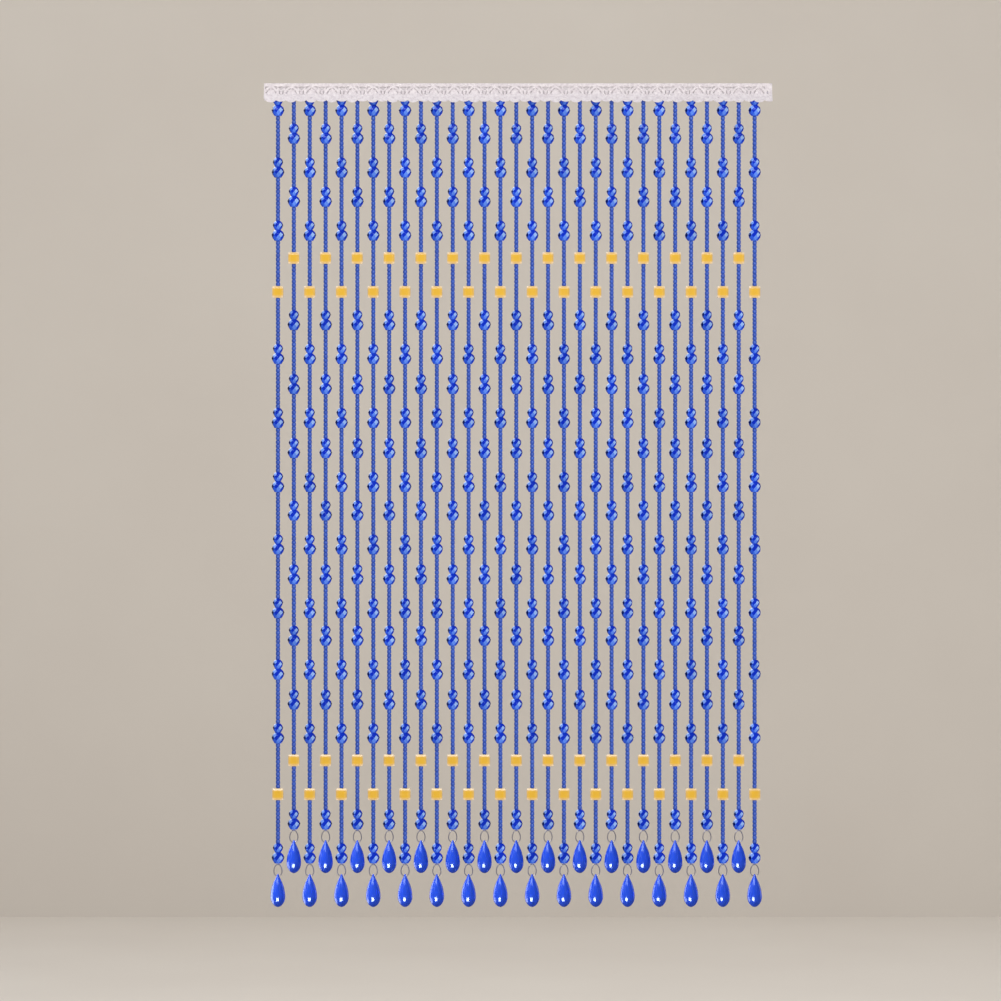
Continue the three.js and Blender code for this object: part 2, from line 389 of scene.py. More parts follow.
def lace_ground(material):
    """The flat ground of the lace: its outline and gaps as a thin sheet."""
    rings = ground_rings()
    flat = [[Vector((x, -d, 0)) for x, d in ring] for ring in rings]
    triangles = tessellate_polygon(flat)
    points = [p for ring in rings for p in ring]
    # Made flat first, as (across, side, depth), and put on the lace's lean once it is cut.
    form = bmesh.new()
    front = [form.verts.new((x, 1.0, d)) for x, d in points]
    back = [form.verts.new((x, -1.0, d)) for x, d in points]
    for a, b, c in triangles:
        if len({a, b, c}) == 3:
            form.faces.new((front[a], front[b], front[c]))
            form.faces.new((back[c], back[b], back[a]))
    start = 0
    for ring in rings:
        size = len(ring)
        for i in range(size):
            a, b = start + i, start + (i + 1) % size
            form.faces.new((front[a], front[b], back[b], back[a]))
        start += size
    for share in BEND_CUTS:
        cut = LACE_BEND_DEPTH + LACE_BEND_ROUND * share
        geometry = form.verts[:] + form.edges[:] + form.faces[:]
        bmesh.ops.bisect_plane(form, geom=geometry, plane_co=(0, 0, cut), plane_no=(0, 0, 1))
    for vert in form.verts:
        x, side, depth = vert.co
        vert.co = on_lace(x, depth, side * GROUND_THICKNESS / 2)
    bmesh.ops.remove_doubles(form, verts=form.verts[:], dist=SLIVER)
    bmesh.ops.dissolve_degenerate(form, dist=SLIVER, edges=form.edges[:])
    bmesh.ops.recalc_face_normals(form, faces=form.faces[:])
    mesh = bpy.data.meshes.new("lace_ground")
    form.to_mesh(mesh)
    form.free()
    mesh.materials.append(material)
    return placed_object("lace_ground", mesh)


def yarn_along(points, half_width, closed=False):
    """A flattened yarn laid on the lace along (x, depth) points, as verts and faces."""
    sides = 6
    half_height = min(LACE_THICKNESS / 2, half_width)
    count = len(points)
    verts, faces = [], []
    for i, (x, d) in enumerate(points):
        before = points[(i - 1) % count] if closed or i else points[i]
        after = points[(i + 1) % count] if closed or i < count - 1 else points[i]
        run = Vector((after[0] - before[0], after[1] - before[1])).normalized()
        for j in range(sides):
            turn = 2 * math.pi * j / sides
            aside = half_width * math.cos(turn)
            out = half_height * math.sin(turn)
            verts.append(on_lace(x - run.y * aside, d + run.x * aside, out))
    last = count if closed else count - 1
    for i in range(last):
        a, b = i * sides, ((i + 1) % count) * sides
        for j in range(sides):
            k = (j + 1) % sides
            faces.append((a + j, b + j, b + k, a + k))
    if not closed:
        faces.append(tuple(range(sides)))
        faces.append(tuple(reversed(range((count - 1) * sides, count * sides))))
    return verts, faces


def gathered(forms):
    """Several (verts, faces) forms as one."""
    verts, faces = [], []
    for more_verts, more_faces in forms:
        start = len(verts)
        verts += list(more_verts)
        faces += [tuple(start + i for i in face) for face in more_faces]
    return verts, faces


def repeat_yarns():
    """The raised yarns of one repeat, each as (points, half width, whether it is closed)."""
    leaf = oval(0, LEAF["depth"], LEAF["half_width"], LEAF["half_height"], 12)
    yarns = [
        (both_sides(curve_points(OUTER_ARCH, 10)), YARN["arch"], False),
        (both_sides(curve_points(INNER_ARCH, 7)), YARN["fine"], False),
        (leaf, YARN["fine"], True),
    ]
    for scallop in SCALLOPS:
        along, eye, radius = scallop["along"], scallop["eye_depth"], scallop["eye_radius"]
        ring = radius + YARN["ring"] * RING_STANDOFF
        yarns.append((oval(along, eye, ring, ring, 18), YARN["ring"], True))
        edge = scallop_points(scallop, 14, YARN["edge"] * EDGE_STANDOFF)
        yarns.append((edge, YARN["edge"], False))
        for spoke in range(EYE_SPOKES):
            turn = math.pi * (spoke + 0.5) / EYE_SPOKES
            across, down = radius * math.cos(turn), radius * math.sin(turn)
            spoke_line = [(along - across, eye - down), (along + across, eye + down)]
            yarns.append((spoke_line, YARN["spoke"], False))
        net = radius * EYE_NET
        yarns.append((oval(along, eye, net, net, 10), YARN["spoke"], True))
    for side in (-1, 1):
        bar = [(LACE_REPEAT / 2 + side * x * MM, d * MM) for x, d in CORNER_BAR]
        yarns.append((bar, YARN["fine"], False))
    return yarns


def lace_yarns(material):
    """The raised yarns: heading cords, arches, rings, leaves and the scalloped edge."""
    left, right = strands_low.x, strands_high.x
    reach = HEADER_WIDTH / 2 - YARN_TO_END
    forms = []
    steps = 240
    for depth in HEADING_CORDS["depths"]:
        line = [(left + HEADER_WIDTH * i / steps, depth) for i in range(steps + 1)]
        forms.append(yarn_along(line, HEADING_CORDS["half_width"]))
    for k in range(-1, LACE_REPEATS + 1):
        for line, half_width, closed in repeat_yarns():
            placed = [(LACE_FIRST_X + k * LACE_REPEAT + x, d) for x, d in line]
            kept = [p for p in placed if abs(p[0]) <= reach]
            if len(kept) == len(placed):
                forms.append(yarn_along(placed, half_width, closed))
            elif len(kept) >= 3:
                forms.append(yarn_along(kept, half_width))
    depths = [END_CORD["top"] + i * END_CORD["step"] for i in range(END_CORD["points"])]
    for x in (left + YARN["fine"], right - YARN["fine"]):
        forms.append(yarn_along([(x, depth) for depth in depths], YARN["fine"]))
    return new_object("lace_yarns", *gathered(forms), material)


lace_material = lace_yarn()
ground = lace_ground(lace_material)
yarns = lace_yarns(lace_material)
for piece in (ground, yarns):
    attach(piece, "root")
    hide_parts("lace_trim")

# ---------------------------------------------------------------------------------------------
# Fine beads. Round blue beads, about 8 mm across and 7 mm long, moulded in solid colour and
# strung tight against each other, fill each strand between its crystals and squares.
# ---------------------------------------------------------------------------------------------
STRAND_COUNT = 31
STRAND_PITCH = 28.15 * MM
FIRST_STRAND_X = (drop_low.x + drop_high.x) / 2
SHORT_RISE = 60 * MM
FIRST_BEAD_GAP = 1.0 * MM
# The fine beads are so many that they are four objects, each of every fourth strand.
FINE_GROUPS = 4
FINE_BEAD = {"width": 7.9 * MM, "height": 7.1 * MM, "pitch": 7.13 * MM}
# Its outline from foot to top, as shares of its half width and half height.
FINE_PROFILE = ((0.7, -1.0), (0.93, -0.74), (1.0, 0.0), (0.93, 0.74), (0.7, 1.0))
SMALL_CRYSTAL = {"width": 18.6 * MM, "height": 16.2 * MM}
LARGE_CRYSTAL = {"width": 23 * MM, "height": 19 * MM}
SQUARE_BEAD = {"width": 19.5 * MM, "height": 20.6 * MM, "depth": 13 * MM}
# What hangs on a long strand between its fine beads, with the depth in millimetres of each
# large crystal's or square's middle. A short strand lacks the first pair and has the rest
# SHORT_RISE higher.
STRUNG = (
    ("pair", 48.2),
    ("pair", 157.5),
    ("pair", 269.3),
    ("square", 369.5),
    ("pair", 487.8),
    ("pair", 601.0),
    ("pair", 714.5),
    ("pair", 825.0),
    ("pair", 938.0),
    ("pair", 1046.6),
    ("pair", 1159.7),
    ("square", 1259.0),
    ("pair", 1372.0),
)
# How far each reaches above and below that middle.
UNIT_ABOVE = {
    "pair": LARGE_CRYSTAL["height"] / 2 + SMALL_CRYSTAL["height"],
    "square": SQUARE_BEAD["height"] / 2,
}
UNIT_BELOW = {"pair": LARGE_CRYSTAL["height"] / 2, "square": SQUARE_BEAD["height"] / 2}


def strand_x(i):
    """How far across strand i hangs."""
    return FIRST_STRAND_X + i * STRAND_PITCH


def is_long(i):
    """Long and short strands hang in turn, from a long one at each end."""
    return i % 2 == 0


def units_on(i):
    """The (unit, height) of everything strung between the fine beads of strand i."""
    if is_long(i):
        return [(unit, -depth * MM) for unit, depth in STRUNG]
    return [(unit, SHORT_RISE - depth * MM) for unit, depth in STRUNG[1:]]


def fine_places(i):
    """Where the fine beads of strand i sit, as (height of its middle, its own height)."""
    places = []
    top = -TAPE_HEIGHT - FIRST_BEAD_GAP
    for unit, z in units_on(i):
        length = top - (z + UNIT_ABOVE[unit])
        count = round(length / FINE_BEAD["pitch"])
        for n in range(count):
            places.append((top - length * (n + 0.5) / count, length / count))
        top = z - UNIT_BELOW[unit]
    return places


def turned_form(outline, segments):
    """A form turned about the vertical from (radius, z) points that run from foot to top."""
    verts, faces = [(0, 0, outline[0][1])], []
    inner = outline[1:-1]
    for radius, z in inner:
        for j in range(segments):
            turn = 2 * math.pi * j / segments
            verts.append((radius * math.sin(turn), -radius * math.cos(turn), z))
    verts.append((0, 0, outline[-1][1]))
    top = len(verts) - 1
    for j in range(segments):
        k = (j + 1) % segments
        faces.append((0, 1 + k, 1 + j))
        faces.append((top, top - segments + j, top - segments + k))
        for i in range(len(inner) - 1):
            a, b = 1 + i * segments, 1 + (i + 1) * segments
            faces.append((a + j, a + k, b + k, b + j))
    return verts, faces


def strung_object(name, form, places, material, smooth=True):
    """Copies of one form as a single mesh. A place is (x, y, z, turn about Z, stretch in height).

    Each corner keeps its place in the single form as "own_place", and each face the painted light
    and shade of its facet, where the form has them, as a face attribute, for materials to read.
    """
    verts = np.array(form[0], float)
    corners = np.concatenate([np.array(face, int) for face in form[1]])
    sizes = np.array([len(face) for face in form[1]], int)
    spots = np.array(places, float)
    copies = len(spots)
    cosine, sine = np.cos(spots[:, 3])[:, None], np.sin(spots[:, 3])[:, None]
    x = verts[:, 0] * cosine - verts[:, 1] * sine + spots[:, 0:1]
    y = verts[:, 0] * sine + verts[:, 1] * cosine + spots[:, 1:2]
    z = verts[:, 2] * spots[:, 4:5] + spots[:, 2:3]
    all_corners = (corners[None, :] + np.arange(copies)[:, None] * len(verts)).ravel()
    all_sizes = np.tile(sizes, copies)
    mesh = bpy.data.meshes.new(name)
    mesh.vertices.add(copies * len(verts))
    mesh.vertices.foreach_set("co", np.stack([x, y, z], axis=-1).ravel())
    mesh.loops.add(len(all_corners))
    mesh.loops.foreach_set("vertex_index", all_corners)
    mesh.polygons.add(len(all_sizes))
    mesh.polygons.foreach_set("loop_start", np.concatenate([[0], np.cumsum(all_sizes)[:-1]]))
    mesh.polygons.foreach_set("use_smooth", np.full(len(all_sizes), smooth))
    mesh.materials.append(material)
    mesh.update(calc_edges=True)
    mesh.validate()
    own_place = mesh.attributes.new("own_place", "FLOAT_VECTOR", "POINT")
    own_place.data.foreach_set("vector", np.tile(verts.ravel(), copies))
    if len(form) > 2:
        painted_facet_lights = mesh.attributes.new("facet_tone", "FLOAT", "FACE")
        painted_facet_lights.data.foreach_set("value", np.tile(np.array(form[2], float), copies))
    return placed_object(name, mesh)


def solid_blue_bead():
    # Polystyrene coloured through: a soft shine, a shade duller and paler than the crystals,
    # and no two beads quite alike.
    finish = {"Roughness": 0.38, "IOR": 1.59}
    material, tree, shader = new_material("solid blue polystyrene", finish)
    by_bead = add_node(tree, "ShaderNodeNewGeometry").outputs["Random Per Island"]
    tint = between_tints(tree, by_bead, ("#2A4EAE", "#3158BA"))
    tree.links.new(tint, shader.inputs["Base Color"])
    return material


def fine_bead_form():
    """A barrel-shaped bead, flat at its two holes."""
    radius, half = FINE_BEAD["width"] / 2, FINE_BEAD["height"] / 2
    outline = [(radius * across, half * up) for across, up in FINE_PROFILE]
    return turned_form([(0, -half)] + outline + [(0, half)], segments=10)


fine_material = solid_blue_bead()
fine_objects = []
fine_form = fine_bead_form()
for first in range(FINE_GROUPS):
    places = []
    for i in range(first, STRAND_COUNT, FINE_GROUPS):
        for z, height in fine_places(i):
            places.append((strand_x(i), 0, z, 0, height / FINE_BEAD["pitch"]))
    beads = strung_object(f"fine_beads_{first + 1}", fine_form, places, fine_material)
    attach(beads, "root")
    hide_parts("strands")
    fine_objects.append(beads)

# ---------------------------------------------------------------------------------------------
# Crystals. Clear blue acrylic beads, moulded with rings of eight facets, in pairs:
# a small one over a large one, end to end.
# ---------------------------------------------------------------------------------------------
CRYSTAL_SIDES = 8
# Rings of corners of one crystal from foot to top: share of its half width, share of its half
# height, and by how many sides it is turned.
CRYSTAL_RINGS = (
    (0.52, -1.0, 0.5),
    (0.86, -0.44, 0.0),
    (1.0, 0.1, 0.5),
    (0.86, 0.57, 0.0),
    (0.52, 1.0, 0.5),
)
FACET_EDGE = 0.15 * MM
# All crystals are turned this much on their strands, give or take the slack.
CRYSTAL_SPIN = math.radians(11)
SPIN_SLACK = math.radians(2)
ACRYLIC_IOR = 1.49
# How the acrylic's blue deepens with its thickness.
ACRYLIC_DEPTH = {"Color": (0.1, 0.4, 0.99, 1), "Density": 90.0}
# Painted light and shade of the facets: colours from navy to the palest, and the tone of each row's
# facets at 0, 22.5, 45 ... 157.5 degrees round from the front of the bead. Some facets get painted
# highlights and others painted shade.
FACET_PAINTED_COLOURS = ("#06155C", "#0A2FC4", "#1E50E0", "#4F82FA", "#9CC2FF", "#C4D4F6")
PAINTED_LIGHT_TABLE = {
    "girdle": (0.2, 0.82, 0.2, 0.0, 0.2, 0.0, 0.2, 0.2),
    "crown": (0.22, 0.2, 0.2, 0.3, 0.9, 0.9, 0.7, 0.25),
    "base": (0.64, 0.48, 0.3, 0.3, 0.3, 0.3, 0.46, 0.57),
}
PAINTED_LIGHT_STEP = 22.5
# A facet's steepness is its normal's rise: under the first it belongs to the girdle, and over
# the second it is the flat end at a hole.
GIRDLE_STEEPNESS = 0.3
END_STEEPNESS = 0.97
END_PAINTED_LIGHT = 0.4


def blue_acrylic(name, clearness, polish, glint):
    """Blue acrylic without its base colour: (material, tree, shader)."""
    finish = {
        "Roughness": polish,
        "IOR": ACRYLIC_IOR,
        "Transmission Weight": clearness,
        "Specular IOR Level": glint,
        "Specular Tint": linear("#D6ECFF"),
    }
    material, tree, shader = new_material(name, finish)
    depth = add_node(tree, "ShaderNodeVolumeAbsorption", ACRYLIC_DEPTH)
    output = next(n for n in tree.nodes if n.bl_idname == "ShaderNodeOutputMaterial")
    tree.links.new(depth.outputs[0], output.inputs["Volume"])
    return material, tree, shader


def cut_crystal():
    # Clear and glossy. Each facet's colour holds painted light or shade, set by the way it faces:
    # pale blue painted highlights where light would come back through the bead, and deep blue or
    # navy painted shade where it would escape at the rear.
    material, tree, shader = blue_acrylic("clear blue acrylic crystal", 0.15, 0.06, 0.45)
    # The facet attribute picks each facet's painted highlight or painted shade from the colours.
    facet = add_node(tree, "ShaderNodeAttribute", attribute_name="facet_tone")
    tone = add_node(tree, "ShaderNodeValToRGB", {"Fac": facet.outputs["Fac"]})
    stops = tone.color_ramp.elements
    while len(stops) < len(FACET_PAINTED_COLOURS):
        stops.new(1.0)
    for i, colour in enumerate(FACET_PAINTED_COLOURS):
        stops[i].position = i / (len(FACET_PAINTED_COLOURS) - 1)
        stops[i].color = linear(colour)
    by_bead = add_node(tree, "ShaderNodeNewGeometry").outputs["Random Per Island"]
    shade = add_node(tree, "ShaderNodeMapRange", {"Value": by_bead, "To Min": 0.9, "To Max": 1.1})
    shaded = {"Value": shade.outputs[0], "Color": tone.outputs[0]}
    vary = add_node(tree, "ShaderNodeHueSaturation", shaded)
    tree.links.new(vary.outputs[0], shader.inputs["Base Color"])
    return material


def facet_tone(normal):
    """The painted light or shade of a facet, from 0, navy, to 1, the palest, by how it faces. It
    repeats each half turn.
    """
    azimuth = math.degrees(math.atan2(normal.x, -normal.y)) % 180
    steepness = abs(normal.z)
    if steepness > END_STEEPNESS:
        return END_PAINTED_LIGHT
    row = "crown" if normal.z > 0 else "base"
    if steepness < GIRDLE_STEEPNESS:
        row = "girdle"
    painted_facet_lights = PAINTED_LIGHT_TABLE[row]
    return painted_facet_lights[round(azimuth / PAINTED_LIGHT_STEP) % len(painted_facet_lights)]


def hulled(places):
    """A closed solid round some places, as a bmesh with one face on each flat side."""
    form = bmesh.new()
    corners = [form.verts.new(place) for place in places]
    bmesh.ops.convex_hull(form, input=corners)
    bmesh.ops.dissolve_limit(form, angle_limit=0.02, verts=form.verts[:], edges=form.edges[:])
    return form


def round_off(form, edges, width, segments=1):
    """Takes the sharpness off some edges."""
    bmesh.ops.bevel(form, geom=edges, offset=width, segments=segments, affect="EDGES", profile=0.5)


def verts_and_faces(form):
    """What a bmesh holds, as lists. The bmesh is freed."""
    form.verts.index_update()
    verts = [tuple(v.co) for v in form.verts]
    faces = [tuple(v.index for v in face.verts) for face in form.faces]
    form.free()
    return verts, faces


def crystal_form(size):
    """A round bead cut into flat facets, with flat ends at its holes and slightly rounded edges."""
    radius, half = size["width"] / 2, size["height"] / 2
    corners = []
    for share, up, turned in CRYSTAL_RINGS:
        for j in range(CRYSTAL_SIDES):
            turn = 2 * math.pi * (j + 0.5 + turned) / CRYSTAL_SIDES
            across, forward = math.sin(turn), math.cos(turn)
            corners.append((radius * share * across, -radius * share * forward, half * up))
    form = hulled(corners)
    tone = form.faces.layers.float.new("facet_tone")
    for face in form.faces:
        # Each facet gets its painted highlight or painted shade.
        face[tone] = facet_tone(face.normal)
    round_off(form, form.edges[:], FACET_EDGE)
    painted_facet_lights = [face[tone] for face in form.faces]
    return *verts_and_faces(form), painted_facet_lights


crystal_acrylic = cut_crystal()
spin = random.Random(7)
small_places, large_places = [], []
for i in range(STRAND_COUNT):
    for unit, z in units_on(i):
        if unit != "pair":
            continue
        waist = z + LARGE_CRYSTAL["height"] / 2
        small_z = waist + SMALL_CRYSTAL["height"] / 2
        for places, middle in ((large_places, z), (small_places, small_z)):
            turn = CRYSTAL_SPIN + spin.uniform(-SPIN_SLACK, SPIN_SLACK)
            places.append((strand_x(i), 0, middle, turn, 1))
crystal_objects = []
for name, size, places in (
    ("small_crystals", SMALL_CRYSTAL, small_places),
    ("large_crystals", LARGE_CRYSTAL, large_places),
):
    crystals = strung_object(name, crystal_form(size), places, crystal_acrylic, smooth=False)
    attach(crystals, "root")
    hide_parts("strands")
    crystal_objects.append(crystals)

# ---------------------------------------------------------------------------------------------
# Square beads. Amber-gold acrylic squares with bevelled edges, two on each strand.
# ---------------------------------------------------------------------------------------------
SQUARE_BEVEL = 3.4 * MM
BEVEL_DEPTH = 1.7 * MM
CORNER_ROUND = 1.6 * MM
SQUARE_EDGE = 0.3 * MM
# Where the painted highlight on a square begins, and where it is palest, as shares of its half
# width.
SIDE_HIGHLIGHT_START = 0.45
END_HIGHLIGHT_START = 0.5
HIGHLIGHT_FULL = 0.95


def maths(tree, operation, *values):
    """The result of one sum done by a material's node."""
    return add_node(tree, "ShaderNodeMath", dict(enumerate(values)), operation=operation).outputs[0]


def painted_highlight(tree, distance, start):
    """How strong the painted highlight is by the distance from the middle: 0 up to a share of its
    half width.
    """
    half = SQUARE_BEAD["width"] / 2
    reach = {"Value": distance, "From Min": half * start, "From Max": half * HIGHLIGHT_FULL}
    return add_node(tree, "ShaderNodeMapRange", reach).outputs[0]


def amber_acrylic():
    # Warm gold and nearly solid, with a wet shine. A cream painted highlight lies on the bevels
    # above and below, strongest at the corners and faint at the sides.
    finish = {"Roughness": 0.15, "IOR": ACRYLIC_IOR, "Coat Weight": 0.5, "Coat Roughness": 0.05}
    material, tree, shader = new_material("amber gold acrylic", finish)
    place = add_node(tree, "ShaderNodeAttribute", attribute_name="own_place")
    parts = add_node(tree, "ShaderNodeSeparateXYZ", {0: place.outputs["Vector"]})
    # Painted highlight: cream near the top and bottom bevels, most of all at the corners, a little
    # at the sides.
    side_highlight = painted_highlight(tree, maths(tree, "ABSOLUTE", parts.outputs[0]), SIDE_HIGHLIGHT_START)
    end_highlight = painted_highlight(tree, maths(tree, "ABSOLUTE", parts.outputs[2]), END_HIGHLIGHT_START)
    corner = maths(tree, "MULTIPLY_ADD", side_highlight, 0.5, 0.5)
    ends = maths(tree, "MULTIPLY", end_highlight, corner)
    pale = maths(tree, "MULTIPLY_ADD", side_highlight, 0.2, ends)
    tint = between_tints(tree, pale, ("#E0B036", "#F0D9B6"))
    tree.links.new(tint, shader.inputs["Base Color"])
    return material


def square_form():
    """A square block with broad, shallow bevels front and back and slightly rounded edges."""
    wide, deep, tall = (SQUARE_BEAD[key] / 2 for key in ("width", "depth", "height"))
    corners = []
    for inset, y in ((SQUARE_BEVEL, deep), (0, deep - BEVEL_DEPTH)):
        for side, x, z in itertools.product((-1, 1), repeat=3):
            corners.append((x * (wide - inset), side * y, z * (tall - inset)))
    form = hulled(corners)
    through = [e for e in form.edges if abs(e.verts[0].co.y - e.verts[1].co.y) > deep]
    round_off(form, through, CORNER_ROUND, segments=2)
    round_off(form, form.edges[:], SQUARE_EDGE)
    return verts_and_faces(form)


square_places = []
for i in range(STRAND_COUNT):
    for unit, z in units_on(i):
        if unit == "square":
            square_places.append((strand_x(i), 0, z, spin.uniform(-SPIN_SLACK, SPIN_SLACK), 1))
squares = strung_object("gold_squares", square_form(), square_places, amber_acrylic(), smooth=False)
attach(squares, "root")
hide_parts("strands")

# ---------------------------------------------------------------------------------------------
# Wire rings. A pear-shaped loop of plated steel wire under each strand's last crystal. Its
# foot runs through the hole in the neck of the drop.
# ---------------------------------------------------------------------------------------------
DROP_TIP = drop_high.z
WIRE_RADIUS = 0.75 * MM
RING_TOP = 17.4 * MM
RING_FOOT = -4.0 * MM
RING_HALF_WIDTH = 7.2 * MM
RING_PEAR = 1.2 * MM
RING_SPIN = 0.1


def plated_wire():
    # Bright drawn wire: smooth metal with faint streaks, dark where it mirrors the room.
    finish = {"Base Color": linear("#D8D4DE"), "Metallic": 1.0}
    material, tree, shader = new_material("plated steel wire", finish)
    place = add_node(tree, "ShaderNodeTexCoord").outputs["Object"]
    roughness = {"Value": noise(tree, place, 900.0), "To Min": 0.28, "To Max": 0.44}
    polish = add_node(tree, "ShaderNodeMapRange", roughness)
    tree.links.new(polish.outputs[0], shader.inputs["Roughness"])
    return material


def ring_form():
    """The loop's wire as verts and faces, about the drop's tip."""
    steps, sides, ahead = 28, 8, 0.01
    middle, half = (RING_TOP + RING_FOOT) / 2, (RING_TOP - RING_FOOT) / 2
    backward = Vector((0, 1, 0))
    verts, faces = [], []

    def spine(turn):
        across = math.sin(turn) * (RING_HALF_WIDTH - RING_PEAR * math.cos(turn))
        return Vector((across, 0, middle + half * math.cos(turn)))

    for i in range(steps):
        turn = 2 * math.pi * i / steps
        point = spine(turn)
        run = (spine(turn + ahead) - spine(turn - ahead)).normalized()
        aside = run.cross(backward)
        for j in range(sides):
            angle = 2 * math.pi * j / sides
            out = math.cos(angle) * aside + math.sin(angle) * backward
            verts.append(tuple(point + WIRE_RADIUS * out))
    for i in range(steps):
        a, b = i * sides, ((i + 1) % steps) * sides
        for j in range(sides):
            k = (j + 1) % sides
            faces.append((a + j, b + j, b + k, a + k))
    return verts, faces


def drop_tip(i):
    """The height of the tip of the drop on strand i."""
    return DROP_TIP if is_long(i) else DROP_TIP + SHORT_RISE


ring_places = []
for i in range(STRAND_COUNT):
    ring_places.append((strand_x(i), 0, drop_tip(i), spin.uniform(-RING_SPIN, RING_SPIN), 1))
rings = strung_object("wire_rings", ring_form(), ring_places, plated_wire())
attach(rings, "root")
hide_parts("strands")

# ---------------------------------------------------------------------------------------------
# Stringing thread. One clear nylon line down each strand, sewn into the tape and knotted
# round the wire ring.
# ---------------------------------------------------------------------------------------------
THREAD_RADIUS = 0.45 * MM
THREAD_IN_TAPE = 2 * MM
KNOT_RADIUS = 1.5 * MM
KNOT_BELOW_RING_TOP = 2 * MM


def nylon_line():
    # Nearly clear line with a milky sheen.
    finish = {"Roughness": 0.35, "Transmission Weight": 0.3}
    material, tree, shader = new_material("clear nylon line", finish)
    place = add_node(tree, "ShaderNodeTexCoord").outputs["Object"]
    tint = between_tints(tree, noise(tree, place, 400.0), ("#C9CDE0", "#E6E9F4"))
    tree.links.new(tint, shader.inputs["Base Color"])
    return material


def thread_form(length):
    """A straight line with a knot at its foot, hanging down from its top."""
    outline = [(0, -length)]
    steps = 6
    for i in range(1, steps):
        turn = math.pi * i / steps
        radius = max(KNOT_RADIUS * math.sin(turn), THREAD_RADIUS)
        outline.append((radius, -length + KNOT_RADIUS * (1 - math.cos(turn))))
    outline += [(THREAD_RADIUS, -length + 2 * KNOT_RADIUS), (THREAD_RADIUS, 0), (0, 0)]
    return turned_form(outline, segments=8)


thread_top = -TAPE_HEIGHT + THREAD_IN_TAPE
threads = []
for i in range(STRAND_COUNT):
    foot = drop_tip(i) + RING_TOP - KNOT_BELOW_RING_TOP
    verts, faces = thread_form(thread_top - foot)
    threads.append(([(x + strand_x(i), y, z + thread_top) for x, y, z in verts], faces))
thread = new_object("stringing_thread", *gathered(threads), nylon_line())
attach(thread, "root")
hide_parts("strands")

# ---------------------------------------------------------------------------------------------
# Drops. Smooth teardrops of clear blue acrylic, one on each wire ring.
# ---------------------------------------------------------------------------------------------
# The outline in millimetres from tip to foot: how far below the tip, and the radius there.
DROP_OUTLINE = (
    (0, 0),
    (0.15, 0.6),
    (0.7, 1.2),
    (2, 1.8),
    (4.5, 2.7),
    (9.5, 5.0),
    (15, 7.6),
    (21, 9.9),
    (27, 11.5),
    (33, 12.5),
    (39, 13.0),
    (44, 12.7),
    (49, 11.3),
    (53, 9.0),
    (56, 6.2),
    (57.8, 3.3),
    (58.4, 1.2),
    (58.5, 0),
)
# Painted shade: the foot is darker by this factor, which fades out at this share of the drop's
# length.
PAINTED_FOOT_SHADE = 0.62
PAINTED_FOOT_SHADE_END = 0.7


def drop_form():
    """The teardrop about its tip, from its foot up to its tip."""
    outline = [(radius * MM, -below * MM) for below, radius in reversed(DROP_OUTLINE)]
    return turned_form(outline, segments=32)


def polished_drop():
    # Clear and glossy, with no edges: a soft pale streak below the tip, a bright spot low down, and
    # painted shade that makes the foot a deeper blue.
    material, tree, shader = blue_acrylic("clear blue acrylic drop", 0.2, 0.16, 0.85)
    by_drop = add_node(tree, "ShaderNodeNewGeometry").outputs["Random Per Island"]
    tint = between_tints(tree, by_drop, ("#1C4CDC", "#2655E6"))
    place = add_node(tree, "ShaderNodeAttribute", attribute_name="own_place")
    parts = add_node(tree, "ShaderNodeSeparateXYZ", {0: place.outputs["Vector"]})
    # Painted shade: the colour darkens towards the foot of the drop.
    foot = -DROP_OUTLINE[-1][0] * MM
    shading = {"Value": parts.outputs[2], "From Min": foot, "From Max": foot * PAINTED_FOOT_SHADE_END}
    depth = add_node(tree, "ShaderNodeMapRange", {**shading, "To Min": PAINTED_FOOT_SHADE, "To Max": 1.0})
    foot_shade_inputs = {"Value": depth.outputs[0], "Color": tint}
    foot_shaded = add_node(tree, "ShaderNodeHueSaturation", foot_shade_inputs)
    tree.links.new(foot_shaded.outputs[0], shader.inputs["Base Color"])
    return material


drop_acrylic = polished_drop()
drop_objects = []
for i in range(STRAND_COUNT):
    node_name = f"drop_{i + 1:02d}"
    place = (strand_x(i), 0, drop_tip(i), spin.uniform(-math.pi, math.pi), 1)
    drop = strung_object(f"teardrop_{i + 1:02d}", drop_form(), [place], drop_acrylic)
    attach(drop, "root")
    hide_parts(node_name)
    drop_objects.append(drop)

# ---------------------------------------------------------------------------------------------
# Studio. A pale floor and backdrop, soft lights and the camera, square on to the curtain.
# ---------------------------------------------------------------------------------------------
CAMERA_DISTANCE = 5.912
CAMERA_LENS = 120
VIEW_CENTRE = Vector((-0.0311, 0, -0.7388))
SENSOR_WIDTH = 36
FAR_CLIP = 50
FLOOR_HEIGHT = -2.6
FLOOR_HALF_WIDTH = 14.0
BACKDROP_Y = 9.0
BACKDROP_HALF_WIDTH = 3.3
BACKDROP_TOP = 2.4
BACKDROP_WASH_HEIGHT = -0.4
CURTAIN_MIDDLE = (0, 0, -0.73)
DROPS_MIDDLE = (0, 0, -1.35)
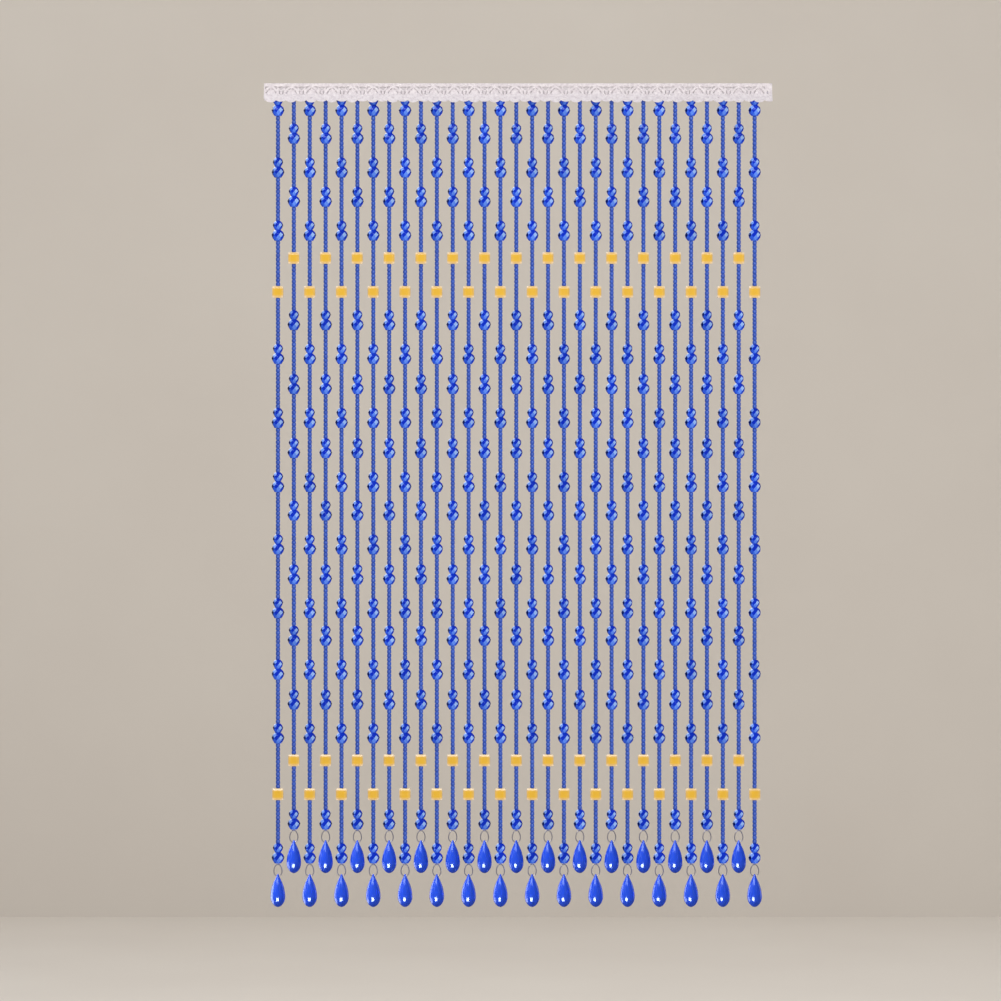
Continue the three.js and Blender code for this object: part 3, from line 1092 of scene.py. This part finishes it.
# The soft lights: azimuth and elevation in degrees, distance, (width, height) and radiance.
# An azimuth is 0 in front of the curtain and grows to its right.
SOFT_LIGHTS = {
    "key": (-27, 40, 5.0, (5.6, 1.8), 4.6),
    "fill": (38, 12, 5.0, (2.4, 3.0), 2.0),
    "front": (8, 6, 5.6, (3.2, 3.2), 3.0),
    "bead_front": (12, 14, 5.6, (3.2, 3.2), 7.0),
    "rim_left": (-130, 42, 4.0, (3.2, 3.0), 3.0),
    "back": (165, 18, 5.0, (3.0, 3.0), 2.4),
    "drop_key": (-56, 26, 4.0, (2.5, 2.5), 5.2),
    "drop_spot": (-14, -29, 2.2, (1.4, 1.1), 30.0),
    "drop_left": (-108, -10, 3.4, (3.2, 3.4), 4.2),
    "drop_right": (116, 6, 3.4, (2.0, 2.4), 1.0),
    "stage_wash": (0, 90, 10.0, (44.0, 44.0), 0.75),
    "backdrop_wash": (180, 62, 4.6, (4.0, 1.6), 3.5),
}
ROOM_DIMNESS = (0.16, 0.16, 0.17, 1)


def plaster():
    # Matt pale paint with hardly any texture.
    material, tree, shader = new_material("pale matt paint", {"Roughness": 0.9})
    place = add_node(tree, "ShaderNodeTexCoord").outputs["Object"]
    tint = between_tints(tree, noise(tree, place, 1.5), ("#D6CEC4", "#DCD5CB"))
    tree.links.new(tint, shader.inputs["Base Color"])
    return material


stage_pieces = []


def plane(name, corners, material):
    """A flat piece of the stage, apart from the part."""
    made = new_object(name, corners, [(0, 1, 2, 3)], material, smooth=False)
    stage_pieces.append(made)
    return made


paint = plaster()
square = ((-1, -1), (1, -1), (1, 1), (-1, 1))
floor_corners = [(x * FLOOR_HALF_WIDTH, y * FLOOR_HALF_WIDTH, FLOOR_HEIGHT) for x, y in square]
floor = plane("floor", floor_corners, paint)
# The floor is kept out of reflections, so the feet of the drops stay deep blue.
floor.visible_glossy = False
backdrop_corners = []
for x, up in square:
    height = BACKDROP_TOP if up > 0 else FLOOR_HEIGHT
    backdrop_corners.append((x * BACKDROP_HALF_WIDTH, BACKDROP_Y, height))
plane("backdrop", backdrop_corners, paint)


def softbox(name, azimuth, elevation, distance, size, radiance):
    """A rectangular soft light that faces the middle of the curtain or of its drops."""
    a, e = math.radians(azimuth), math.radians(elevation)
    toward = Vector((math.sin(a) * math.cos(e), -math.cos(a) * math.cos(e), math.sin(e)))
    lamp = bpy.data.lights.new(name, "AREA")
    lamp.shape = "RECTANGLE"
    lamp.size, lamp.size_y = size
    lamp.energy = radiance * math.pi * size[0] * size[1]
    made = placed_object(name, lamp)
    aim = DROPS_MIDDLE if name.startswith("drop") else CURTAIN_MIDDLE
    made.location = Vector(aim) + toward * distance
    made.rotation_euler = toward.to_track_quat("Z", "Y").to_euler()
    made.visible_camera = False
    return made


def only_on(light, pieces):
    """Flags a light off from everything but some pieces."""
    lit = bpy.data.collections.new(light.name + "_subjects")
    for piece in pieces:
        lit.objects.link(piece)
    light.light_linking.receiver_collection = lit


others = [p for p in bpy.data.objects if p.type == "MESH" and p not in fine_objects]
lights = {name: softbox(name, *row) for name, row in SOFT_LIGHTS.items()}
only_on(lights["key"], others)
only_on(lights["front"], crystal_objects + [squares])
only_on(lights["bead_front"], fine_objects)
for name in ("drop_key", "drop_spot", "drop_left", "drop_right"):
    only_on(lights[name], drop_objects)
only_on(lights["stage_wash"], stage_pieces)
# These light the pieces but are not mirrored in them, and the spot is only mirrored.
for name in ("fill", "front", "back", "drop_key"):
    lights[name].visible_glossy = False
lights["drop_spot"].visible_diffuse = False
wash = lights["backdrop_wash"]
wash_run = Vector((0, BACKDROP_Y, BACKDROP_WASH_HEIGHT)) - wash.location
wash.rotation_euler = wash_run.to_track_quat("-Z", "Y").to_euler()

# The room is dim around the lights, and pale where it shows beyond the backdrop.
world = bpy.data.worlds.new("soft room")
world.use_nodes = True
room = world.node_tree
seen = add_node(room, "ShaderNodeLightPath")
tone = add_node(room, "ShaderNodeMixRGB", {0: seen.outputs["Is Camera Ray"]})
tone.inputs[1].default_value = ROOM_DIMNESS
tone.inputs[2].default_value = linear("#CFC8BE")
room.links.new(tone.outputs[0], room.nodes["Background"].inputs[0])
bpy.context.scene.world = world
bpy.context.scene.view_settings.view_transform = "Standard"

lens = bpy.data.cameras.new("camera")
lens.lens = CAMERA_LENS
lens.sensor_width = SENSOR_WIDTH
lens.clip_end = FAR_CLIP
camera = placed_object("camera", lens)
camera.location = VIEW_CENTRE + Vector((0, -CAMERA_DISTANCE, 0))
camera.rotation_euler = (math.radians(90), 0, 0)
bpy.context.scene.camera = camera
